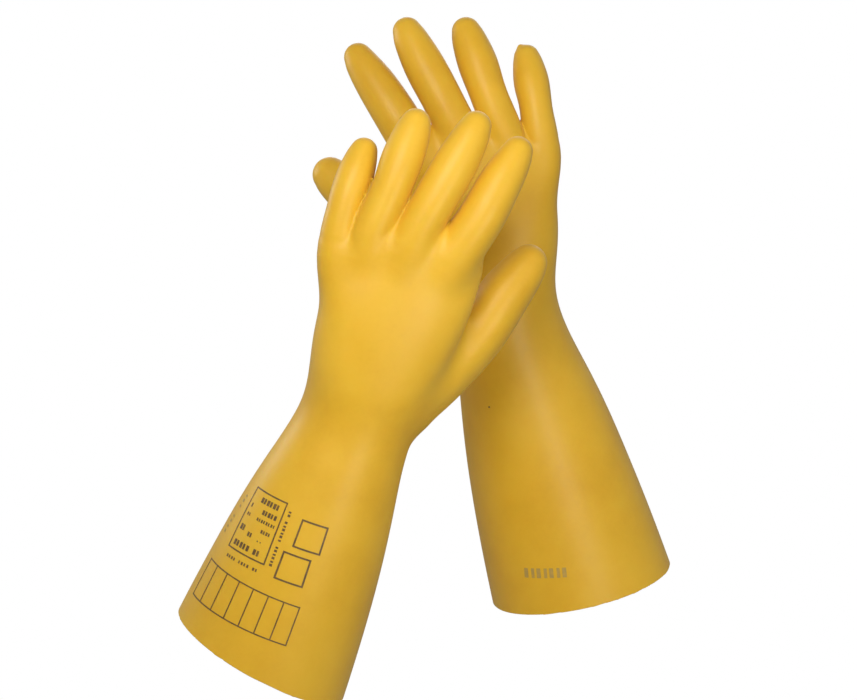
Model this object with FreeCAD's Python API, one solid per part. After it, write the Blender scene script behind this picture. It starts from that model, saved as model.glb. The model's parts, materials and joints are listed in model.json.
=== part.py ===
import FreeCAD, Part
import math
import os

# A pair of rubber insulating gauntlet gloves, held upright by the right cuff.
# Units are millimetres, +Z is up, the backs of both hands face -Y.
# The origin is the centre of the right glove's cuff opening.
#
# Each glove is modelled in its own hand frame and then placed in the pair:
#   x runs towards the thumb, y towards the palm, z towards the fingertips,
#   and the origin is the middle of the wrist.

Vector = FreeCAD.Vector
os.makedirs("parts", exist_ok=True)

# ---- driving dimensions -------------------------------------------------
wall = 2.0                 # rubber thickness
play = 0.5                 # clearance at every flex line
sweep_step = 10.0          # degrees between the clearance cuts

wrist_radius = 35.5
wrist_collar_top = -19.0   # the gauntlet starts this far below the wrist centre
wrist_ball_bottom = -25.0
wrist_range = (-20.0, 20.0)

# outer outline of the hand: height, centre x, centre y, half width, half depth
hand_sections = [
    (-7.0, 0.0, 0.0, 33.5, 33.5),
    (10.0, -0.5, 0.0, 37.0, 34.6),
    (28.0, -2.0, -0.5, 40.5, 31.5),
    (55.0, -4.5, 0.5, 45.5, 27.5),
    (80.0, -6.5, 1.0, 49.5, 22.5),
]
# the last outline lies in the sloping line of the knuckles
knuckle_line = dict(height=120.0, slope=0.226, centre_x=-9.5, centre_y=1.5,
                    half_width=50.5, half_depth=14.5)

# outer outline of the gauntlet below the wrist: height, half width, half depth
gauntlet_sections = [
    (wrist_collar_top, 38.2, 38.2),
    (-60.0, 44.7, 41.5),
    (-115.0, 53.0, 47.6),
    (-225.0, 62.2, 54.6),
]

# each digit: where its stub starts inside the hand, the pivot where the stall
# leaves the hand, the pivot halfway along it, the centre of the round tip,
# and its outer radii: stub in the hand, cup at the root, cup halfway, tip
digits = {
    "index": dict(stub=(21.0, -0.5, 110.0), root=(29.3, 2.0, 141.0), middle=(35.3, 9.5, 163.0),
                  tip=(41.0, 18.0, 182.0), thick=14.5, cup=13.4, cup2=12.7, end=11.0),
    "middle": dict(stub=(-6.0, -2.0, 112.0), root=(-1.7, 1.5, 141.5), middle=(4.2, 9.5, 166.5),
                   tip=(9.2, 18.0, 189.0), thick=14.3, cup=13.2, cup2=12.8, end=11.2),
    "ring": dict(stub=(-31.5, 0.5, 107.0), root=(-29.0, 5.5, 139.5), middle=(-27.6, 12.5, 159.5),
                 tip=(-26.0, 21.0, 178.0), thick=13.6, cup=12.8, cup2=12.4, end=11.0),
    "little": dict(stub=(-49.5, 4.5, 92.0), root=(-53.5, 10.0, 121.5), middle=(-53.8, 17.0, 137.0),
                   tip=(-53.9, 25.0, 150.5), thick=12.2, cup=11.6, cup2=11.2, end=9.8),
    "thumb": dict(stub=(50.0, 19.0, 52.0), root=(57.5, 23.8, 66.5), middle=(67.5, 30.0, 88.5),
                  tip=(78.6, 37.5, 109.0), thick=18.4, cup=17.0, cup2=15.4, end=12.8),
}
# sideways shift of each digit's root and tip in a glove that is fully fanned out,
# and how much wider its palm is on the little finger's side
fan = {"index": (0.5, 2.7), "middle": (0.0, 0.0), "ring": (-1.0, -0.8), "little": (-3.0, -5.2),
       "thumb": (0.0, 6.0)}
palm_fan = 3.4
root_range = {"index": (-10.0, 50.0), "middle": (-10.0, 50.0), "ring": (-10.0, 50.0),
              "little": (-10.0, 50.0), "thumb": (-15.0, 15.0)}
# the left ring finger stops sooner, against the little finger drawn in beside it
closer_root_range = {("left", "ring"): (-10.0, 27.0)}
middle_range = {"index": (-10.0, 55.0), "middle": (-10.0, 55.0), "ring": (-10.0, 55.0),
                "little": (-10.0, 50.0), "thumb": (-10.0, 45.0)}
curl_side = {"thumb": (-0.75, 0.66, 0.0)}   # fingers curl straight towards the palm
palm_side = (0.0, 1.0, 0.0)
rear_hole = 0.80           # way through each hinge ball, as a share of its radius

# thumb mound: a tapering swelling from the heel of the palm to the thumb's stub
mound_heel = (23.0, 8.0, 16.0)
mound_heel_radius = 24.0

# each glove: turn about z, tip towards -y and lean towards +x in degrees, how far
# the fingers are fanned, wrist centre to cuff edge, and slant of the cuff edge
pair = {
    "right": dict(mirrored=True, hand_turn=0.0, hand_tip=-1.0, hand_lean=-16.0, spread=1.0,
                  cuff_tip=-2.0, cuff_lean=-16.0, cuff_length=192.0, rim_slant=3.0),
    "left": dict(mirrored=False, hand_turn=4.0, hand_tip=5.5, hand_lean=19.0, spread=-1.0,
                 cuff_tip=-3.0, cuff_lean=22.0, cuff_length=170.0, rim_slant=7.0),
}
left_wrist_from_right = Vector(-90.0, -125.0, -26.0)


# ---- small helpers ------------------------------------------------------
def vec(values):
    return Vector(*values)


def unit(v):
    return Vector(v).normalize()


def pose(turn, tip, lean, at):
    """Turn about z, then tip the top towards -y, then lean it towards +x."""
    spin = FreeCAD.Rotation(Vector(0, 0, 1), turn)
    nod = FreeCAD.Rotation(Vector(1, 0, 0), tip)
    bend = FreeCAD.Rotation(Vector(0, 1, 0), lean)
    return FreeCAD.Placement(at, bend.multiply(nod).multiply(spin))


def outline_wire(centre, half_width, half_depth, slope=0.0, count=24):
    """Oval outline as one smooth closed spline; slope raises its plane towards +x."""
    points = []
    for i in range(count):
        a = 2.0 * math.pi * i / count
        dx = half_width * math.cos(a)
        points.append(centre + Vector(dx, half_depth * math.sin(a), slope * dx))
    curve = Part.BSplineCurve()
    curve.interpolate(points, PeriodicFlag=True)
    return Part.Wire([curve.toShape()])


def revolved(profile, base, direction):
    """Solid of revolution from (s, r) points; a middle point makes an arc."""
    edges = []
    for kind, data in profile:
        pts = [Vector(s, r, 0.0) for s, r in data]
        if kind == "line":
            edges.append(Part.makeLine(pts[0], pts[1]))
        else:
            edges.append(Part.Arc(pts[0], pts[1], pts[2]).toShape())
    face = Part.Face(Part.Wire(edges))
    solid = face.revolve(Vector(0, 0, 0), Vector(1, 0, 0), 360.0)
    turn = FreeCAD.Rotation(Vector(1, 0, 0), unit(direction))
    solid.Placement = FreeCAD.Placement(base, turn)
    return solid


def on_circle(centre_s, radius, degrees):
    a = math.radians(degrees)
    return (centre_s + radius * math.cos(a), radius * math.sin(a))


def arc(centre_s, radius, start, end):
    return ("arc", [on_circle(centre_s, radius, start),
                    on_circle(centre_s, radius, 0.5 * (start + end)),
                    on_circle(centre_s, radius, end)])


def closed(steps):
    """Join the steps of a profile with straight lines wherever they part."""
    profile = []
    for i, step in enumerate(steps):
        last = steps[i - 1][1][-1]
        first = step[1][0]
        if math.hypot(last[0] - first[0], last[1] - first[1]) > 1e-6:
            profile.append(("line", [last, first]))
        profile.append(step)
    return profile


def hinge_axis(direction, curl):
    """Positive turns about this axis curl the digit towards the palm."""
    return unit(direction.cross(curl))


def turned(shape, pivot, axis, degrees):
    copy = shape.copy()
    copy.rotate(pivot, axis, degrees)
    return copy


def clear_path(shape, mover, pivot, axis, limits):
    """Cut away everything that the mover needs over its range."""
    count = max(2, int(math.ceil((limits[1] - limits[0]) / sweep_step)) + 1)
    for i in range(count):
        angle = limits[0] + (limits[1] - limits[0]) * i / (count - 1)
        shape = shape.cut(turned(mover, pivot, axis, angle))
    return shape


def biggest_solid(shape):
    return max(shape.Solids, key=lambda s: s.Volume)


# ---- digits -------------------------------------------------------------
def ball_radius(cup):
    """Hinge ball that turns inside a cup of the given outer radius."""
    return cup - wall - play


def rear_profile(ball, shoulder):
    """Outer and inner starts of a segment: its hinge ball and its shoulder."""
    hole = 180.0 - math.degrees(math.asin(rear_hole))
    outer = [arc(0.0, ball, hole, 75.0), ("line", [(6.2, shoulder), (6.6, shoulder)])]
    inner = [("line", [(7.0, shoulder - wall), (6.6, shoulder - wall)]),
             arc(0.0, ball - wall, 75.0, hole)]
    return outer, inner


def base_segment(d):
    """From the root pivot to the cup around the middle pivot."""
    root, middle = vec(d["root"]), vec(d["middle"])
    length = (middle - root).Length
    cup = d["cup2"]
    outer, inner = rear_profile(ball_radius(d["cup"]), d["cup"] - 0.4)
    meet = 180.0 - math.degrees(math.asin((cup - 0.4) / cup))
    steps = outer + [
        arc(length, cup, meet, 62.0),
        arc(length, cup - wall, 62.0, meet),
    ] + inner
    return revolved(closed(steps), root, middle - root)


def tip_segment(d):
    """From the middle pivot to the closed fingertip."""
    middle, tip = vec(d["middle"]), vec(d["tip"])
    length = (tip - middle).Length
    end = d["end"]
    outer, inner = rear_profile(ball_radius(d["cup2"]), d["cup2"] - 0.4)
    steps = outer + [
        arc(length, end, 90.0, 0.0),
        arc(length, end - wall, 0.0, 90.0),
    ] + inner
    return revolved(closed(steps), middle, tip - middle)


def path_tool(start, end, cup):
    """Solid the size of a moving segment plus clearance, for the path cuts."""
    direction = end - start
    length = direction.Length + 14.0
    ball = ball_radius(cup) + play - 0.15
    tube = cup - 0.4 + play
    steps = [
        arc(0.0, ball, 180.0, 75.0),
        ("line", [(5.4, tube), (length, tube)]),
        ("line", [(length, tube), (length, 0.0)]),
        ("line", [(length, 0.0), (-ball, 0.0)]),
    ]
    return revolved(closed(steps), start, direction)


def digit_axes(name, d):
    curl = unit(vec(curl_side.get(name, palm_side)))
    first = hinge_axis(vec(d["middle"]) - vec(d["root"]), curl)
    second = hinge_axis(vec(d["tip"]) - vec(d["middle"]), curl)
    return first, second


def spread_digits(spread):
    """The digits of one glove, with its fingers fanned out or drawn together."""
    table = {}
    for name, d in digits.items():
        near, far = fan[name]
        low, high = d["root"][2], d["tip"][2]
        moved = dict(d)
        for key in ("stub", "root", "middle", "tip"):
            x, y, z = d[key]
            t = max(0.0, (z - low) / (high - low))
            moved[key] = (x + spread * (near + (far - near) * t), y, z)
        table[name] = moved
    return table


def make_digit(name, d):
    first, second = digit_axes(name, d)
    tool = path_tool(vec(d["middle"]), vec(d["tip"]), d["cup2"])
    base = clear_path(base_segment(d), tool, vec(d["middle"]), second, middle_range[name])
    return biggest_solid(base), tip_segment(d)


# ---- hand ---------------------------------------------------------------
def hand_body(inset, spread):
    """Hand outline from the wrist to the knuckles, moved inwards by inset."""
    wires = []
    for z, cx, cy, hw, hd in hand_sections:
        wider = 0.5 * palm_fan * spread * min(1.0, max(0.0, z / 55.0))
        wires.append(outline_wire(Vector(cx - wider, cy, z), hw + wider - inset, hd - inset))
    k = knuckle_line
    wider = 0.5 * palm_fan * spread
    centre_x = k["centre_x"] - wider
    top = k["height"] - inset + k["slope"] * centre_x
    middle = Vector(centre_x, k["centre_y"], top)
    wires.append(outline_wire(middle, k["half_width"] + wider - inset, k["half_depth"] - inset, k["slope"]))
    return Part.makeLoft(wires, True, False)


def tapered(start, end, r1, r2):
    """Round-ended tapering bar between two points."""
    axis = end - start
    bar = Part.makeCone(r1, r2, axis.Length, start, axis)
    return bar.fuse(Part.makeSphere(r1, start)).fuse(Part.makeSphere(r2, end))


def stub(d, inset):
    """The part of a stall that belongs to the hand, up to its root cup."""
    return tapered(vec(d["stub"]), vec(d["root"]), d["thick"] - inset, d["cup"] - inset)


def hand_solid(table, inset, spread):
    thumb = table["thumb"]
    shape = hand_body(inset, spread)
    shape = shape.fuse(tapered(vec(mound_heel), vec(thumb["stub"]),
                               mound_heel_radius - inset, thumb["thick"] + 0.1 - inset))
    shape = shape.fuse(Part.makeSphere(wrist_radius - inset, Vector(0, 0, 0)))
    for d in table.values():
        shape = shape.fuse(stub(d, inset))
    return shape


def make_hand(table, spread):
    hand = hand_solid(table, 0.0, spread).cut(hand_solid(table, wall, spread))
    below = Part.makeBox(300, 300, 200, Vector(-150, -150, wrist_ball_bottom - 200))
    hand = hand.cut(below)
    for name, d in table.items():
        first, _ = digit_axes(name, d)
        tool = path_tool(vec(d["root"]), vec(d["middle"]), d["cup"])
        hand = clear_path(hand, tool, vec(d["root"]), first, root_range[name])
    return biggest_solid(hand)


# ---- gauntlet -----------------------------------------------------------
def gauntlet_body(inset):
    wires = [outline_wire(Vector(0, 0, z), hw - inset, hd - inset) for z, hw, hd in gauntlet_sections]
    return Part.makeLoft(wires, True, False)


def make_gauntlet(length, rim_slant):
    """Flared cuff with a plain cut edge and a hugging collar at the wrist."""
    shell = gauntlet_body(0.0)
    collar_depth = 9.0
    collar_bottom = wrist_collar_top - collar_depth
    inner = gauntlet_body(wall)
    collar = Part.makeCylinder(wrist_radius + 1.5, collar_depth, Vector(0, 0, collar_bottom))
    shell = shell.cut(inner).fuse(collar.common(gauntlet_body(0.3)))
    shell = shell.cut(Part.makeSphere(wrist_radius + play, Vector(0, 0, 0)))
    shell = shell.cut(Part.makeCylinder(wrist_radius - 7.5, 60, Vector(0, 0, -60)))
    below = Part.makeBox(400, 400, 200, Vector(-200, -200, -200))
    tilt = FreeCAD.Rotation(Vector(0, 1, 0), rim_slant)
    below.Placement = FreeCAD.Placement(Vector(0, 0, -length), tilt)
    return biggest_solid(shell.cut(below))


# ---- placing ------------------------------------------------------------
def mirrored_copy(shape):
    return shape.mirror(Vector(0, 0, 0), Vector(1, 0, 0))


def flip(v, mirrored):
    return Vector(-v.x, v.y, v.z) if mirrored else Vector(v)


nodes = {}
joints = []
cuff_frames = {}

right_cuff = pair["right"]
to_cuff = pose(0.0, right_cuff["cuff_tip"], right_cuff["cuff_lean"], Vector(0, 0, 0))
right_wrist = to_cuff.multVec(Vector(0, 0, right_cuff["cuff_length"]))
wrists = {"right": right_wrist, "left": right_wrist + left_wrist_from_right}

for side, p in pair.items():
    mirrored = p["mirrored"]
    at = wrists[side]
    length = p["cuff_length"]
    slant = -p["rim_slant"] if mirrored else p["rim_slant"]
    table = spread_digits(p["spread"])
    hand_pose = pose(p["hand_turn"], p["hand_tip"], p["hand_lean"], at)
    cuff_pose = pose(0.0, p["cuff_tip"], p["cuff_lean"], at)

    def placed(shape, where):
        copy = mirrored_copy(shape) if mirrored else shape.copy()
        copy.Placement = where.multiply(copy.Placement)
        return copy

    nodes[side + "_gauntlet"] = placed(make_gauntlet(length, slant), cuff_pose)
    nodes[side + "_hand"] = placed(make_hand(table, p["spread"]), hand_pose)
    curl = hand_pose.Rotation.multVec(vec(palm_side))
    forward = hand_pose.Rotation.multVec(Vector(0, 0, 1))
    joints.append((side + "_wrist", side + "_gauntlet", side + "_hand", at,
                   hinge_axis(forward, curl), wrist_range))
    rim_normal = flip(Vector(math.sin(math.radians(-slant)), 0, -math.cos(math.radians(-slant))), mirrored)
    cuff_frames[side] = (cuff_pose.multVec(Vector(0, 0, -length)),
                         cuff_pose.Rotation.multVec(rim_normal))
    for name, d in table.items():
        base, end = make_digit(name, d)
        nodes[side + "_" + name + "_base"] = placed(base, hand_pose)
        nodes[side + "_" + name + "_tip"] = placed(end, hand_pose)
        points = [hand_pose.multVec(flip(vec(d[k]), mirrored)) for k in ("root", "middle", "tip")]
        curl = hand_pose.Rotation.multVec(flip(unit(vec(curl_side.get(name, palm_side))), mirrored))
        joints.append((side + "_" + name + "_root", side + "_hand", side + "_" + name + "_base",
                       points[0], hinge_axis(points[1] - points[0], curl),
                       closer_root_range.get((side, name), root_range[name])))
        joints.append((side + "_" + name + "_middle", side + "_" + name + "_base",
                       side + "_" + name + "_tip", points[1],
                       hinge_axis(points[2] - points[1], curl), middle_range[name]))

for name, shape in nodes.items():
    solid = biggest_solid(shape)
    nodes[name] = solid
    solid.exportStep("parts/" + name + ".step")
    box = solid.BoundBox
    print(name, "valid", solid.isValid(), "volume", round(solid.Volume, 1),
          "box", [round(v, 1) for v in (box.XMin, box.YMin, box.ZMin, box.XMax, box.YMax, box.ZMax)])

for name, parent, child, at, axis, limits in joints:
    print(name, "turns", child, "on", parent, "at", [round(v, 2) for v in at],
          "about", [round(v, 4) for v in axis], "degrees", limits)
for side, (centre, outward) in cuff_frames.items():
    print(side, "cuff opening at", [round(v, 2) for v in centre], "facing", [round(v, 4) for v in outward])
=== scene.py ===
import json
import math

import bmesh
import bpy
import numpy as np
import openvdb
from mathutils import Matrix, Vector


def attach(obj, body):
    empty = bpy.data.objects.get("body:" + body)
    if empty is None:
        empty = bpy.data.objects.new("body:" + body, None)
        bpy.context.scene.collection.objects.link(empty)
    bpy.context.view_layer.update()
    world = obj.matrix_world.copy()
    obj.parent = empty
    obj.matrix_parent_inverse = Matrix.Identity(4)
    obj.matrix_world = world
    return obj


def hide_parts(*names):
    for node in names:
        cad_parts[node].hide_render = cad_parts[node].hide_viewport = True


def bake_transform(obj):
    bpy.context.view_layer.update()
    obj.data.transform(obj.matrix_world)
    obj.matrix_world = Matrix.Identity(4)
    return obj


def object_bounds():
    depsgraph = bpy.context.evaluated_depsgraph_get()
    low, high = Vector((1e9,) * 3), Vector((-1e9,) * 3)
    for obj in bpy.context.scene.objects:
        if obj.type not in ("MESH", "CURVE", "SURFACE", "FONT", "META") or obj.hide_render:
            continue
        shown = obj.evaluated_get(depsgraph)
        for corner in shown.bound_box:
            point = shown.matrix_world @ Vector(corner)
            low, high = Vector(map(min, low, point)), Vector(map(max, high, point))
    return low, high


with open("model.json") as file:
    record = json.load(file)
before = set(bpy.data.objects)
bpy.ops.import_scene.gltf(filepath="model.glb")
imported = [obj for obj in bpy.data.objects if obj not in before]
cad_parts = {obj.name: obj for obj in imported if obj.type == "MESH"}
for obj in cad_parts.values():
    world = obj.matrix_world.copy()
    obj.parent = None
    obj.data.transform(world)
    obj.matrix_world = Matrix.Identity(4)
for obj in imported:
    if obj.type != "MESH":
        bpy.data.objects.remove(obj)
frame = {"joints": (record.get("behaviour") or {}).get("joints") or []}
cad_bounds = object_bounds()

MM = 0.001
WALL = 2.0
VOXEL = 1.6
DIGITS = ("thumb", "index", "middle", "ring", "little")

# ---- the pair: turn about z, tip towards -y, lean towards +x, in degrees ----
PAIR = {
    "right": dict(mirrored=True, hand=(0.0, -1.0, -16.0), spread=1.0,
                  cuff=(0.0, -2.0, -16.0), rim=-3.0, length=192.0),
    "left": dict(mirrored=False, hand=(4.0, 5.5, 19.0), spread=-1.0,
                 cuff=(0.0, -3.0, 22.0), rim=7.0, length=170.0),
}

# ---- glove outline: height, centre x, centre y, half width, half depth, squareness ----
SECTIONS = np.array([
    (-230.0, 0.0, 0.0, 62.6, 54.9, 2.0),
    (-188.0, 0.0, 0.0, 59.8, 52.8, 2.0),
    (-150.0, 0.0, 0.0, 56.7, 50.3, 2.0),
    (-115.0, 0.0, 0.0, 53.0, 47.6, 2.0),
    (-80.0, -0.2, 0.0, 48.3, 44.0, 2.0),
    (-50.0, -0.2, 0.0, 42.9, 40.0, 2.0),
    (-22.0, 0.0, 0.0, 37.7, 36.2, 2.0),
    (0.0, -0.3, 0.0, 36.4, 34.2, 2.05),
    (18.0, -1.4, -0.2, 38.6, 32.8, 2.15),
    (38.0, -3.0, 0.0, 42.4, 30.2, 2.3),
    (60.0, -4.0, 0.5, 45.6, 26.8, 2.4),
    (85.0, -5.5, 1.4, 48.7, 22.0, 2.4),
    (108.0, -7.5, 2.8, 50.0, 17.2, 2.3),
    (130.0, -8.5, 4.5, 49.5, 13.5, 2.2),
    (160.0, -9.0, 6.0, 48.5, 11.0, 2.2),
])
WEB_HEIGHT = 131.0
# how far the web line drops below its highest point, across the hand
WEB_DROP = np.array([(-80, 38.0), (-66, 34.0), (-54, 30.0), (-42, 25.0), (-30, 16.0), (-18, 8.5),
                     (-4, 4.0), (10, 2.0), (24, 4.0), (38, 8.0), (70, 18.0)])

# fillet widths: where a finger, the thumb and the webs run into the hand
FINGER_FILLET = 7.0
THUMB_FILLET = 11.0
WEB_FILLET = 7.3
STALL_FILLET = 2.0          # between two stalls above their web
PALM_TOP_ROUND = 15.0
DRIP_RADIUS = 1.9
DRIP_FILLET = 2.2

AMBIENT = 0.37              # strength of the even white light all round
FOCAL_PIXELS = 3385.0
FRAME_PIXELS = 857.0
CAMERA_DISTANCE = 2.2
CAMERA_ELEVATION = 17.0

# ---- digits: points along each one with its radius there --------------------
DIGIT_PATHS = {
    "index": [((15.0, 4.0, 78.0), 11.0), ((20.5, -0.5, 108.0), 14.6), ((29.3, 2.0, 141.0), 14.2),
              ((35.3, 9.5, 163.0), 13.2), ((39.8, 15.6, 177.0), 11.1), ((41.6, 18.8, 183.8), 9.2)],
    "middle": [((-7.0, 2.0, 80.0), 11.0), ((-7.0, -2.0, 110.0), 13.4), ((-1.7, 1.5, 141.5), 13.2),
               ((4.2, 9.5, 166.5), 13.3), ((8.1, 15.6, 183.5), 11.4), ((9.6, 18.8, 191.2), 9.3)],
    "ring": [((-28.0, 3.5, 78.0), 11.0), ((-32.0, 0.5, 106.0), 12.6), ((-29.0, 5.5, 139.5), 12.0),
             ((-27.6, 12.5, 159.5), 12.8), ((-26.3, 18.8, 173.5), 11.2), ((-25.8, 21.9, 180.4), 9.2)],
    "little": [((-36.5, 4.0, 58.0), 6.5), ((-48.8, 4.5, 92.0), 11.6), ((-53.5, 10.0, 121.5), 10.6),
               ((-53.8, 17.0, 137.0), 11.4), ((-53.9, 22.6, 147.0), 10.0), ((-53.9, 25.6, 152.6), 8.3)],
    "thumb": [((23.0, 8.0, 14.0), 24.0), ((37.0, 13.5, 32.0), 21.5), ((50.0, 19.0, 52.0), 18.8),
              ((57.5, 23.8, 66.5), 17.4), ((67.5, 30.0, 88.5), 16.2), ((76.0, 35.8, 104.0), 13.8),
              ((79.3, 38.0, 110.5), 11.6)],
}
# sideways shift of each digit's root and tip in a glove that is fully fanned out,
# and how much wider its palm is on the little finger's side
FAN = {"index": (0.5, 2.7), "middle": (0.0, 0.0), "ring": (-1.0, -0.8), "little": (-3.0, -5.2),
       "thumb": (0.0, 6.0)}
PALM_FAN = 3.4
# the turning points of each digit, with half the length that bends around each
PIVOTS = {
    "index": dict(root=(29.3, 2.0, 141.0), middle=(35.3, 9.5, 163.0), tip=(41.0, 18.0, 182.0),
                  bend=(8.0, 8.5), reach=19.0),
    "middle": dict(root=(-1.7, 1.5, 141.5), middle=(4.2, 9.5, 166.5), tip=(9.2, 18.0, 189.0),
                   bend=(8.0, 9.0), reach=19.0),
    "ring": dict(root=(-29.0, 5.5, 139.5), middle=(-27.6, 12.5, 159.5), tip=(-26.0, 21.0, 178.0),
                 bend=(7.5, 7.5), reach=19.0),
    "little": dict(root=(-53.5, 10.0, 121.5), middle=(-53.8, 17.0, 137.0), tip=(-53.9, 25.0, 150.5),
                   bend=(6.5, 6.2), reach=17.0),
    "thumb": dict(root=(57.5, 23.8, 66.5), middle=(67.5, 30.0, 88.5), tip=(78.6, 37.5, 109.0),
                  bend=(9.0, 8.0), reach=22.0),
}


# ---- numbers ---------------------------------------------------------------
def spline(xs, ys):
    """Natural cubic spline through the points, straight beyond its ends."""
    xs, ys = np.asarray(xs, float), np.asarray(ys, float)
    h = np.diff(xs)
    n = len(xs)
    a = np.eye(n)
    rhs = np.zeros(n)
    for i in range(1, n - 1):
        a[i, i - 1:i + 2] = h[i - 1], 2.0 * (h[i - 1] + h[i]), h[i]
        rhs[i] = 6.0 * ((ys[i + 1] - ys[i]) / h[i] - (ys[i] - ys[i - 1]) / h[i - 1])
    m = np.linalg.solve(a, rhs)

    def value(x):
        x = np.clip(np.asarray(x, float), xs[0], xs[-1])
        i = np.clip(np.searchsorted(xs, x) - 1, 0, n - 2)
        t, u = x - xs[i], xs[i + 1] - x
        return (m[i] * u ** 3 + m[i + 1] * t ** 3) / (6.0 * h[i]) \
            + (ys[i] / h[i] - m[i] * h[i] / 6.0) * u + (ys[i + 1] / h[i] - m[i + 1] * h[i] / 6.0) * t
    return value


def table_of(value, low, high, count=900):
    """Fast look-up of a smooth function."""
    grid = np.linspace(low, high, count)
    known = value(grid)
    return lambda x: np.interp(x, grid, known)


OUTLINE = [table_of(spline(SECTIONS[:, 0], SECTIONS[:, k]), -225.0, 160.0) for k in range(1, 6)]
DROP = table_of(spline(WEB_DROP[:, 0], WEB_DROP[:, 1]), -80.0, 70.0)


def smooth(x, low, high):
    """0 below low, 1 above high, and an S-curve between."""
    t = np.clip((x - low) / (high - low), 0.0, 1.0)
    return t * t * (3.0 - 2.0 * t)


def merge(a, b, k):
    """Union of two distances with a fillet about k wide."""
    h = np.clip(0.5 + 0.5 * (b - a) / k, 0.0, 1.0)
    return b + (a - b) * h - k * h * (1.0 - h)


def trim(a, b, k):
    """What lies inside both, with its edge rounded about k wide."""
    return -merge(-a, -b, k)


def rotation(angles):
    """Turn about z, then tip about x, then lean about y, all in degrees."""
    turn, tip, lean = angles
    return (Matrix.Rotation(math.radians(lean), 3, "Y")
            @ Matrix.Rotation(math.radians(tip), 3, "X")
            @ Matrix.Rotation(math.radians(turn), 3, "Z"))


# ---- the glove as a distance field -----------------------------------------
def tube_distance(p, height, spread=0.0):
    """Distance to the oval outline at the given height."""
    cx, cy, hw, hd, n = (f(height) for f in OUTLINE)
    if spread:
        wider = 0.5 * PALM_FAN * spread * smooth(height, 0.0, 62.0)
        cx = cx - wider
        hw = hw + wider
    x = np.abs(p[:, 0] - cx) / hw + 1e-6
    y = np.abs(p[:, 1] - cy) / hd + 1e-6
    xn, yn = x ** (n - 1.0), y ** (n - 1.0)
    g = xn * x + yn * y
    f = g ** (1.0 / n)
    slope = f / g * np.sqrt((xn / hw) ** 2 + (yn / hd) ** 2)
    return (f - 1.0) / slope


def path_samples(points, steps=5):
    """Catmull-Rom points and radii along a digit."""
    co = np.array([q for q, r in points], float)
    ra = np.array([r for q, r in points], float)
    data = np.column_stack([co, ra])
    ends = np.vstack([2 * data[0] - data[1], data, 2 * data[-1] - data[-2]])
    out = []
    for i in range(len(data) - 1):
        a, b, c, d = ends[i:i + 4]
        for k in range(steps):
            t = k / steps
            out.append(0.5 * (2 * b + (c - a) * t + (2 * a - 5 * b + 4 * c - d) * t * t
                              + (3 * b - a - 3 * c + d) * t ** 3))
    out.append(data[-1])
    return np.array(out)


def fanned_paths(spread):
    """The digits of one glove, with its fingers fanned out or drawn together."""
    paths = {}
    for name, points in DIGIT_PATHS.items():
        v = PIVOTS[name]
        low, high = v["root"][2], v["tip"][2]
        near, far = FAN[name]
        moved = []
        for (x, y, z), radius in points:
            t = max(0.0, (z - low) / (high - low))
            moved.append(((x + spread * (near + (far - near) * t), y, z), radius))
        paths[name] = path_samples(moved)
    return paths


def fanned_pivots(name, spread):
    """The root, middle and tip points of one digit after the same fanning."""
    v = PIVOTS[name]
    low, high = v["root"][2], v["tip"][2]
    near, far = FAN[name]
    out = []
    for key in ("root", "middle", "tip"):
        x, y, z = v[key]
        t = (z - low) / (high - low)
        out.append(np.array((x + spread * (near + (far - near) * t), y, z)))
    return out


def digit_distance(p, path):
    """Distance to a run of round cones, each one touching its two end spheres."""
    best = np.full(len(p), 1e3)
    for a, b in zip(path[:-1], path[1:]):
        along = b[:3] - a[:3]
        length = np.sqrt(along @ along)
        along /= length
        taper = (a[3] - b[3]) / length
        q = p - a[:3]
        s = q @ along
        across2 = np.maximum(np.einsum("ij,ij->i", q, q) - s * s, 0.0)
        t = np.clip(s - np.sqrt(across2) * taper / math.sqrt(1.0 - taper * taper), 0.0, length)
        np.minimum(best, np.sqrt(across2 + (s - t) ** 2) - (a[3] - taper * t), out=best)
    return best


def drip_distance(p, path):
    """Small nub left by the last drop at a fingertip."""
    along = path[-1, :3] - path[-2, :3]
    along /= np.sqrt(along @ along)
    along = along + (0.35, -0.2, 0.0)
    nub = path[-1, :3] + 0.93 * path[-1, 3] * along / np.sqrt(along @ along)
    return np.sqrt(((p - nub) ** 2).sum(1)) - DRIP_RADIUS


def glove_distance(p, to_cuff, paths, spread):
    """Signed distance, in mm, from the outside of a glove; negative inside."""
    in_cuff = p @ to_cuff.T
    share = smooth(p[:, 2], -30.0, 30.0)
    drop = DROP(p[:, 0]) * smooth(p[:, 2], 55.0, 112.0)
    height = p[:, 2] + drop
    d = tube_distance(in_cuff, in_cuff[:, 2])
    upper = share > 0.0
    if upper.any():
        du = tube_distance(p[upper], height[upper], spread)
        du = trim(du, height[upper] - (WEB_HEIGHT - 2.0), PALM_TOP_ROUND)
        d[upper] += (du - d[upper]) * share[upper]
    near = p[:, 2] > 38.0
    if near.any():
        q = p[near]
        hq = height[near]
        below_web = 1.0 - smooth(hq, WEB_HEIGHT - 6.0, WEB_HEIGHT + 7.0)
        k = STALL_FILLET + (WEB_FILLET - STALL_FILLET) * below_web
        fingers = digit_distance(q, paths["index"])
        for name in ("middle", "ring", "little"):
            fingers = merge(fingers, digit_distance(q, paths[name]), k)
        if spread > 0.0:
            fingers = merge(fingers, drip_distance(q, paths["little"]), DRIP_FILLET)
        d[near] = merge(d[near], fingers, FINGER_FILLET)
    near = (p[:, 2] > -40.0) & (p[:, 2] < 135.0)
    if near.any():
        d[near] = merge(d[near], digit_distance(p[near], paths["thumb"]), THUMB_FILLET)
    return d


def gradient(p, field, step=0.15):
    g = np.empty_like(p)
    for k in range(3):
        dp = np.zeros(3)
        dp[k] = step
        g[:, k] = (field(p + dp) - field(p - dp)) / (2.0 * step)
    return g


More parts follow.
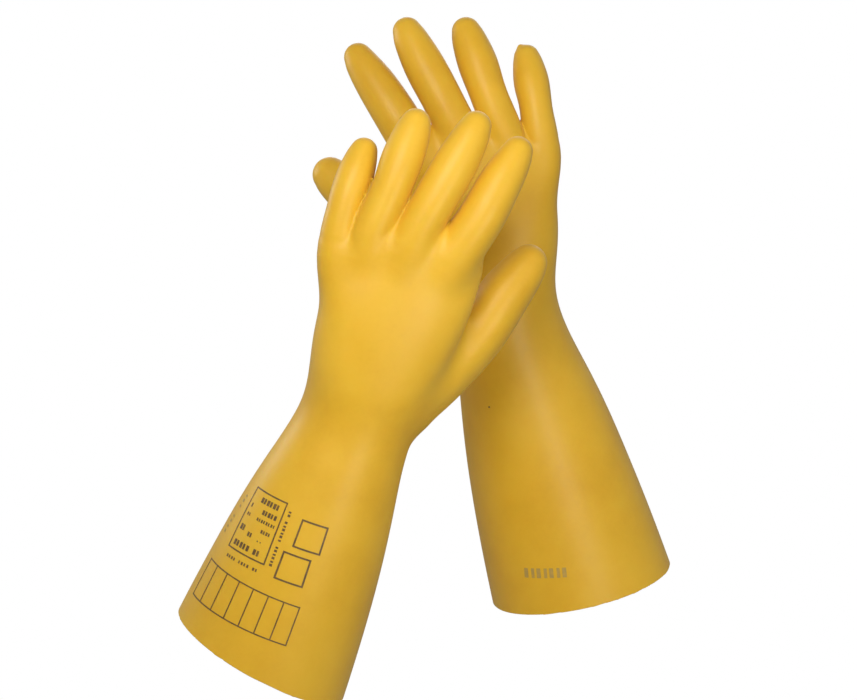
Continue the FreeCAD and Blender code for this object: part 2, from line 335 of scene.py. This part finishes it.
def skin_mesh(field):
    """Outer skin as points and faces, by sampling the field."""
    low = np.array([-92.0, -70.0, -226.0])
    high = np.array([104.0, 78.0, 206.0])
    count = np.ceil((high - low) / VOXEL).astype(int)
    axes = [low[k] + VOXEL * np.arange(count[k]) for k in range(3)]
    values = np.empty(count, np.float32)
    xy = np.stack(np.meshgrid(axes[0], axes[1], indexing="ij"), -1).reshape(-1, 2)
    batch = 24
    for z0 in range(0, count[2], batch):
        zs = axes[2][z0:z0 + batch]
        p = np.concatenate([np.repeat(xy, len(zs), 0), np.tile(zs, len(xy))[:, None]], 1)
        values[:, :, z0:z0 + len(zs)] = field(p).reshape(count[0], count[1], len(zs))
    grid = openvdb.FloatGrid(20.0)
    grid.copyFromArray(np.clip(values, -20.0, 20.0))
    points, quads = grid.convertToQuads(isovalue=0.0)
    p = points.astype(float) * VOXEL + low
    for _ in range(3):
        g = gradient(p, field)
        p -= np.clip(field(p) / np.maximum((g * g).sum(1), 0.2), -1.5, 1.5)[:, None] * g
    a, b, c, d = (p[quads[:, k]] for k in range(4))
    facing = np.einsum("ij,ij->i", np.cross(c - a, d - b), gradient(a, field))
    if facing.mean() < 0.0:
        quads = quads[:, ::-1]
    return p, quads


def cut_at_rim(p, quads, point, normal):
    """Take off everything beyond the plane of the cuff edge."""
    mesh = bpy.data.meshes.new("skin")
    mesh.from_pydata(p.tolist(), [], quads.tolist())
    bm = bmesh.new()
    bm.from_mesh(mesh)
    bmesh.ops.bisect_plane(bm, geom=bm.verts[:] + bm.edges[:] + bm.faces[:], dist=0.25,
                           plane_co=point, plane_no=normal, clear_outer=True)
    bmesh.ops.dissolve_degenerate(bm, dist=0.02, edges=bm.edges[:])
    bm.verts.index_update()
    points = np.array([v.co for v in bm.verts])
    faces = [[v.index for v in f.verts] for f in bm.faces]
    rim = [e for e in bm.edges if e.is_boundary]
    pairs = []
    for e in rim:
        loop = e.link_loops[0]
        pairs.append((loop.vert.index, loop.link_loop_next.vert.index))
    bm.free()
    bpy.data.meshes.remove(mesh)
    return points, faces, pairs


def thicken(p, normals, faces, rim, down):
    """Add the inside of the wall and a softly rounded cut edge."""
    n = len(p)
    inner = p - WALL * normals
    points, shade = [p, inner], [normals, -normals]
    all_faces = list(faces) + [[v + n for v in reversed(f)] for f in faces]
    owner = list(range(len(faces))) * 2
    on_rim = sorted({v for pair in rim for v in pair})
    rows = [dict(zip(on_rim, on_rim))]
    # across the wall as a share of its thickness, and how far the edge bulges there
    profile = [(0.0, 0.0), (0.1, 0.32), (0.35, 0.55), (0.65, 0.55), (0.9, 0.32)]
    total = 2 * n
    for across, drop in profile[1:]:
        points.append(p[on_rim] - across * WALL * normals[on_rim] + drop * np.array(down))
        tilt = (0.5 - across) * 2.0
        row = tilt * normals[on_rim] + math.sqrt(1.0 - tilt * tilt * 0.9) * np.array(down)
        shade.append(row / np.linalg.norm(row, axis=1)[:, None])
        rows.append({v: total + k for k, v in enumerate(on_rim)})
        total += len(on_rim)
    rows.append({v: v + n for v in on_rim})
    for a, b in rim:
        for r0, r1 in zip(rows[:-1], rows[1:]):
            all_faces.append([r0[b], r0[a], r1[a], r1[b]])
            owner.append(-1)
    return np.concatenate(points), np.concatenate(shade), all_faces, owner


def piece_labels(p, faces, paths, spread):
    """Which piece each face belongs to: 0 the hand, then each digit's base and tip."""
    centre = np.array([p[f].mean(0) for f in faces])
    label = np.zeros(len(centre), int)
    nearest = np.stack([digit_distance(centre, paths[name]) for name in DIGITS]).argmin(0)
    for k, name in enumerate(DIGITS):
        v = PIVOTS[name]
        root, middle, tip = fanned_pivots(name, spread)
        length = np.linalg.norm(middle - root)
        first = (middle - root) / length
        second = (tip - middle) / np.linalg.norm(tip - middle)
        q = centre - root
        aside = np.linalg.norm(q - (q @ first)[:, None] * first, axis=1)
        stall = (nearest == k) & (q @ first >= -v["bend"][0] - 1.5)
        stall &= (aside < v["reach"]) | (q @ first > 0.5 * length)
        rigid = 0.5 * (length - sum(v["bend"]))
        outer = (centre - middle) @ second >= -v["bend"][1] - rigid
        label[stall] = 1 + 2 * k
        label[stall & outer] = 2 + 2 * k
    return label


# ---- building the gloves -----------------------------------------------------
def to_world(side):
    """Rotation and offset that place a glove's own frame in the pair, in mm."""
    p = PAIR[side]
    turn = np.array(rotation(p["hand"]))
    if p["mirrored"]:
        turn = turn @ np.diag([-1.0, 1.0, 1.0])
    wrist = next(j for j in frame["joints"] if j["name"] == side + "_wrist")
    return turn, np.array(wrist["pos_m"]) / MM


def make_piece(name, p, normals, faces, material):
    used = np.unique(np.concatenate([np.asarray(f) for f in faces]))
    slot = {int(v): i for i, v in enumerate(used)}
    mesh = bpy.data.meshes.new(name)
    mesh.from_pydata((p[used] * MM).tolist(), [], [[slot[v] for v in f] for f in faces])
    mesh.update()
    mesh.normals_split_custom_set_from_vertices(normals[used].tolist())
    mesh.materials.append(material)
    obj = bpy.data.objects.new(name, mesh)
    bpy.context.scene.collection.objects.link(obj)
    return obj


def make_glove(side, material):
    settings = PAIR[side]
    turn, wrist = to_world(side)
    cuff_turn = np.array(rotation(settings["cuff"]))
    flip = np.diag([-1.0, 1.0, 1.0]) if settings["mirrored"] else np.eye(3)
    to_cuff = flip @ cuff_turn.T @ turn          # hand frame to cuff frame

    spread = settings["spread"]
    paths = fanned_paths(spread)

    def field(q):
        return glove_distance(q, to_cuff, paths, spread)

    slant = math.radians(settings["rim"])
    down_in_cuff = np.array([-math.sin(slant), 0.0, -math.cos(slant)])
    down = to_cuff.T @ down_in_cuff
    rim_centre = to_cuff.T @ np.array([0.0, 0.0, -settings["length"]])
    p, quads = skin_mesh(field)
    p, faces, rim = cut_at_rim(p, quads, rim_centre, down)
    normals = gradient(p, field)
    normals /= np.linalg.norm(normals, axis=1)[:, None]
    label = piece_labels(p, faces, paths, spread)
    p, normals, all_faces, owner = thicken(p, normals, faces, rim, down)
    world = p @ turn.T + wrist
    shade = normals @ turn.T
    groups = {}
    for f, o in zip(all_faces, owner):
        which = 0 if o < 0 else int(label[o])
        groups.setdefault(which, []).append(f[::-1] if settings["mirrored"] else f)

    def place(q):
        return tuple((np.asarray(q) @ turn.T + wrist) * MM)

    body = make_piece(side + "_skin", world, shade, groups[0], material)
    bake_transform(body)
    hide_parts(side + "_gauntlet", side + "_hand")
    for k, name in enumerate(DIGITS):
        v = PIVOTS[name]
        root, middle, tip = fanned_pivots(name, spread)
        first = (middle - root) / np.linalg.norm(middle - root)
        second = (tip - middle) / np.linalg.norm(tip - middle)
        ends = (("base", "hand", root, first, v["bend"][0], 1 + 2 * k),
                ("tip", name + "_base", middle, second, v["bend"][1], 2 + 2 * k))
        for part, parent, pivot, along, reach, which in ends:
            node = side + "_" + name + "_" + part
            piece = make_piece(node + "_skin", world, shade, groups[which], material)
            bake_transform(piece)
            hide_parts(node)
    return field, turn, wrist, to_cuff


# ---- printed marks -----------------------------------------------------------
class Print:
    """Flat marks laid on a cuff; a runs towards the thumb and h up the cuff, in mm."""

    def __init__(self, name, side, glove, angle, height, tilt, material, slot):
        self.name, self.side, self.glove = name, side, glove
        self.angle, self.height, self.tilt = math.radians(angle), height, math.radians(tilt)
        self.material, self.slot = material, slot
        self.points, self.faces = [], []
        self.radius = float(np.linalg.norm(self.on_skin(np.zeros((1, 2)), 0.0, True)[0, :2]))

    def on_skin(self, flat, lift=0.14, in_cuff=False):
        field, turn, wrist, to_cuff = self.glove
        ct, st = math.cos(self.tilt), math.sin(self.tilt)
        along = flat[:, 0] * ct - flat[:, 1] * st
        z = self.height + flat[:, 0] * st + flat[:, 1] * ct
        angle = self.angle + along / getattr(self, "radius", 1.0)
        out = np.stack([np.sin(angle), -np.cos(angle), np.zeros_like(angle)], 1)
        r = np.full(len(z), 52.0)
        for _ in range(7):
            p = out * r[:, None]
            p[:, 2] = z
            q = p @ to_cuff
            slope = (field(q + 0.2 * (out @ to_cuff)) - field(q)) / 0.2
            r -= field(q) / np.maximum(slope, 0.3)
        p = out * (r + lift)[:, None]
        p[:, 2] = z
        if in_cuff:
            return p
        return (p @ to_cuff) @ turn.T + wrist

    def strip(self, a, b, width=0.85):
        """A straight stroke, cut into short steps so it follows the skin."""
        a, b = np.array(a, float), np.array(b, float)
        length = np.linalg.norm(b - a)
        side = np.array([-(b - a)[1], (b - a)[0]]) / length * 0.5 * width
        steps = max(1, int(math.ceil(length / 2.5)))
        rows = max(1, int(math.ceil(width / 2.5)))
        first = len(self.points)
        for i in range(steps + 1):
            for k in range(rows + 1):
                self.points.append(a + (b - a) * i / steps + side * (2.0 * k / rows - 1.0))
        n = rows + 1
        for i in range(steps):
            for k in range(rows):
                v = first + i * n + k
                self.faces.append((v, v + n, v + n + 1, v + 1))

    def frame(self, left, bottom, right, top, width=0.85):
        h = 0.5 * width
        self.strip((left - h, top), (right + h, top), width)
        self.strip((left - h, bottom), (right + h, bottom), width)
        self.strip((left, bottom), (left, top), width)
        self.strip((right, bottom), (right, top), width)

    def blocks(self, start, end, high, wide=1.3, gap=0.75, broken=0):
        """A row of plain blocks in place of wording."""
        start, end = np.array(start, float), np.array(end, float)
        length = np.linalg.norm(end - start)
        step = (end - start) / length
        at, k = 0.0, 0
        while at + wide <= length + 1e-6:
            if not broken or k % broken != broken - 1:
                self.strip(start + step * at, start + step * (at + wide * (1.0 - 0.25 * (k % 2))), high)
            at += wide + gap
            k += 1

    def build(self):
        world = self.on_skin(np.array(self.points))
        mesh = bpy.data.meshes.new(self.name)
        flip = PAIR[self.side]["mirrored"]
        mesh.from_pydata((world * MM).tolist(), [], [f[::-1] if flip else f for f in self.faces])
        mesh.materials.append(self.material)
        mesh.update()
        mesh.shade_smooth()
        obj = bpy.data.objects.new(self.name, mesh)
        bpy.context.scene.collection.objects.link(obj)
        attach(obj, self.side + "_gauntlet")
        return obj


def print_left_cuff(glove, ink, faint):
    label = Print("left_label", "left", glove, -48.5, -83.5, 4.5, ink, "print_ink")
    label.frame(-14.5, -20.0, 14.5, 20.0, 0.95)
    label.blocks((-5.0, 15.0), (11.5, 15.0), 3.4, 2.1, 0.6)
    label.blocks((0.0, 8.6), (13.0, 8.6), 3.0, 1.8, 0.6)
    label.blocks((-11.5, 9.2), (-10.0, 9.2), 2.6, 1.2, 0.6)
    label.blocks((-2.0, 3.4), (12.6, 3.4), 2.0, 1.2, 0.7)
    label.blocks((-11.6, 3.4), (-7.5, 3.4), 2.0, 1.2, 0.7)
    label.blocks((4.5, -2.4), (12.0, -2.4), 2.2, 1.3, 0.6)
    label.blocks((-12.0, -5.4), (-7.0, -5.4), 3.6, 1.9, 0.5)
    label.blocks((-4.0, -7.4), (0.0, -7.4), 2.8, 1.5, 0.6)
    label.blocks((4.5, -8.8), (9.0, -8.8), 0.9, 0.9, 1.4)
    label.blocks((-11.5, -15.6), (12.0, -15.6), 3.6, 2.0, 0.7, 6)
    label.blocks((18.6, -19.5), (18.6, 18.5), 1.9, 1.5, 0.8, 7)
    label.blocks((-12.5, -25.4), (12.5, -25.4), 1.9, 1.3, 0.8, 5)
    label.build()
    side_row = Print("left_side_row", "left", glove, -78.0, -86.5, -6.0, faint, "faint_ink")
    side_row.blocks((0.0, -15.0), (0.0, 15.0), 2.4, 2.0, 1.8, 5)
    side_row.build()
    squares = Print("left_squares", "left", glove, -5.5, -86.5, 3.0, ink, "print_ink")
    squares.frame(-6.5, 2.6, 10.5, 19.6, 1.15)
    squares.frame(-10.5, -19.6, 6.5, -2.6, 1.15)
    squares.build()
    table = Print("left_table", "left", glove, -34.0, -131.5, 1.0, ink, "print_ink")
    table.frame(-37.5, -12.6, 37.5, 12.6, 0.85)
    for k in range(1, 7):
        a = -37.5 + 75.0 * k / 7
        table.strip((a, -12.6), (a, 12.6), 0.8)
    table.build()


def print_right_cuff(glove, ink, faint):
    number = Print("right_faint_row", "right", glove, 20.5, -163.5, 9.0, faint, "faint_ink")
    number.blocks((-14.5, 0.0), (14.5, 0.0), 6.6, 2.7, 1.6)
    number.build()
    speck = Print("right_speck", "right", glove, 35.0, -50.0, 0.0, ink, "print_ink")
    speck.strip((-0.6, 0.0), (0.6, 0.0), 1.1)
    speck.build()


def ink_material(name, color, blotch, roughness):
    """Marking ink, uneven where it has rubbed on the rubber."""
    g = Graph(name)
    place = g.node("TexCoord").outputs["Object"]
    wear = g.noise(260.0, 3.0, 0.6, place)
    g.put(g.shader.inputs["Base Color"], g.ramp(wear, [(0.35, color), (0.72, blotch)]))
    g.put(g.shader.inputs["Roughness"], roughness)
    return g.material


# ---- materials ---------------------------------------------------------------
class Graph:
    """Short helper for building node trees."""

    def __init__(self, name):
        self.material = bpy.data.materials.new(name)
        self.material.use_nodes = True
        self.tree = self.material.node_tree
        self.tree.nodes.clear()
        out = self.tree.nodes.new("ShaderNodeOutputMaterial")
        self.shader = self.tree.nodes.new("ShaderNodeBsdfPrincipled")
        self.tree.links.new(self.shader.outputs["BSDF"], out.inputs["Surface"])

    def node(self, kind, inputs=None, **settings):
        n = self.tree.nodes.new("ShaderNode" + kind)
        for key, value in settings.items():
            setattr(n, key, value)
        for key, value in (inputs or {}).items():
            self.put(n.inputs[key], value)
        return n

    def put(self, socket, value):
        if isinstance(value, bpy.types.NodeSocket):
            self.tree.links.new(value, socket)
        else:
            socket.default_value = value

    def ramp(self, factor, stops):
        n = self.node("ValToRGB", {"Fac": factor})
        e = n.color_ramp.elements
        while len(e) < len(stops):
            e.new(0.5)
        for item, (place, color) in zip(e, stops):
            item.position = place
            item.color = (*color, 1.0)
        return n.outputs["Color"]

    def math(self, operation, a, b):
        n = self.node("Math", operation=operation)
        self.put(n.inputs[0], a)
        self.put(n.inputs[1], b)
        return n.outputs[0]

    def noise(self, scale, detail=3.0, roughness=0.5, vector=None):
        inputs = {"Scale": scale, "Detail": detail, "Roughness": roughness}
        if vector is not None:
            inputs["Vector"] = vector
        return self.node("TexNoise", inputs).outputs["Fac"]


def rubber_material():
    """Dipped natural rubber: warm yellow, slightly translucent, with a satin skin."""
    g = Graph("yellow_rubber")
    place = g.node("TexCoord").outputs["Object"]
    cloud = g.noise(16.0, 4.0, 0.6, place)
    grain = g.noise(420.0, 3.0, 0.65, place)
    tone = g.math("ADD", cloud, g.math("MULTIPLY", g.math("SUBTRACT", grain, 0.5), 0.16))
    color = g.ramp(tone, [(0.28, (0.69, 0.382, 0.017)), (0.50, (0.75, 0.436, 0.024)),
                          (0.74, (0.79, 0.476, 0.035))])
    rough = g.node("MapRange", {"Value": grain, "From Min": 0.3, "From Max": 0.7,
                                "To Min": 0.38, "To Max": 0.50}).outputs["Result"]
    bumps = g.math("ADD", g.math("MULTIPLY", grain, 0.25), g.noise(55.0, 2.0, 0.5, place))
    bump = g.node("Bump", {"Strength": 0.10, "Distance": 0.0012, "Height": bumps}).outputs["Normal"]
    for key, value in {"Base Color": color, "Roughness": rough, "IOR": 1.5, "Normal": bump,
                       "Subsurface Weight": 0.18, "Subsurface Scale": 0.004,
                       "Specular IOR Level": 0.32, "Coat Weight": 0.05, "Coat Roughness": 0.3,
                       "Sheen Weight": 0.08, "Sheen Roughness": 0.5}.items():
        g.put(g.shader.inputs[key], value)
    g.shader.inputs["Subsurface Radius"].default_value = (1.0, 0.5, 0.1)
    return g.material


# ---- camera, light and floor ----------------------------------------------------
def add_camera():
    data = bpy.data.cameras.new("camera")
    data.sensor_width = 36.0
    data.lens = data.sensor_width * FOCAL_PIXELS / FRAME_PIXELS
    data.clip_end = 20.0
    camera = bpy.data.objects.new("camera", data)
    elevation = math.radians(CAMERA_ELEVATION)
    back = Vector((0.0, -math.cos(elevation), math.sin(elevation)))
    target = Vector((-0.1011, 0.0, 0.1608))
    camera.location = target + CAMERA_DISTANCE * back
    camera.rotation_euler = back.to_track_quat("Z", "Y").to_euler()
    bpy.context.scene.collection.objects.link(camera)
    bpy.context.scene.camera = camera


def add_area(name, place, target, size, power, color=(1.0, 1.0, 1.0)):
    data = bpy.data.lights.new(name, "AREA")
    data.shape = "RECTANGLE"
    data.size, data.size_y = size
    data.energy = power
    data.color = color
    light = bpy.data.objects.new(name, data)
    light.location = place
    light.rotation_euler = (Vector(place) - Vector(target)).to_track_quat("Z", "Y").to_euler()
    bpy.context.scene.collection.objects.link(light)


def white_backdrop():
    """A lit white sheet: full white to the camera, dimmer as a source of light."""
    g = Graph("backdrop")
    seen = g.node("LightPath").outputs["Is Camera Ray"]
    strength = g.node("MapRange", {"Value": seen, "To Min": 0.55 * AMBIENT, "To Max": 1.0}).outputs["Result"]
    g.put(g.shader.inputs["Base Color"], (0.0, 0.0, 0.0, 1.0))
    g.put(g.shader.inputs["Specular IOR Level"], 0.0)
    g.put(g.shader.inputs["Emission Color"], (1.0, 1.0, 1.0, 1.0))
    g.put(g.shader.inputs["Emission Strength"], strength)
    return g.material


def add_surroundings():
    mesh = bpy.data.meshes.new("floor")
    size = 12.0
    corners = [(-size, -size, 0), (size, -size, 0), (size, size, 0), (-size, size, 0)]
    mesh.from_pydata(corners, [], [(0, 1, 2, 3)])
    floor = bpy.data.objects.new("floor", mesh)
    floor.location = (0.0, 0.0, cad_bounds[0][2] - 0.002)
    mesh.materials.append(white_backdrop())
    bpy.context.scene.collection.objects.link(floor)
    world = bpy.data.worlds.new("world")
    world.use_nodes = True
    world.node_tree.nodes["Background"].inputs["Color"].default_value = (1.0, 1.0, 1.0, 1.0)
    world.node_tree.nodes["Background"].inputs["Strength"].default_value = AMBIENT
    bpy.context.scene.world = world
    bpy.context.scene.view_settings.view_transform = "Standard"
    middle = (-0.1, -0.05, 0.2)
    add_area("key", (-0.22, -0.62, 0.60), (-0.05, -0.08, 0.24), (0.36, 0.36), 2.9, (1.0, 0.97, 0.93))
    add_area("side", (0.34, -1.05, 0.12), (0.0, -0.02, 0.15), (0.4, 0.5), 4.2, (1.0, 0.98, 0.95))
    add_area("left", (-0.70, 0.22, 0.38), (-0.16, 0.02, 0.27), (0.3, 0.3), 1.2, (1.0, 0.98, 0.95))
    add_area("right", (0.42, -0.55, 0.55), (-0.01, 0.02, 0.26), (0.3, 0.3), 0.3, (1.0, 0.98, 0.95))
    add_area("back", (0.1, 1.5, 0.7), middle, (1.2, 0.9), 5.0, (1.0, 0.98, 0.95))


rubber = rubber_material()
dark_ink = ink_material("print_ink", (0.10, 0.055, 0.018), (0.20, 0.11, 0.03), 0.5)
faint_ink = ink_material("faint_ink", (0.40, 0.28, 0.075), (0.56, 0.34, 0.06), 0.5)
gloves = {side: make_glove(side, rubber) for side in PAIR}
print_left_cuff(gloves["left"], dark_ink, faint_ink)
print_right_cuff(gloves["right"], dark_ink, faint_ink)
add_surroundings()
add_camera()
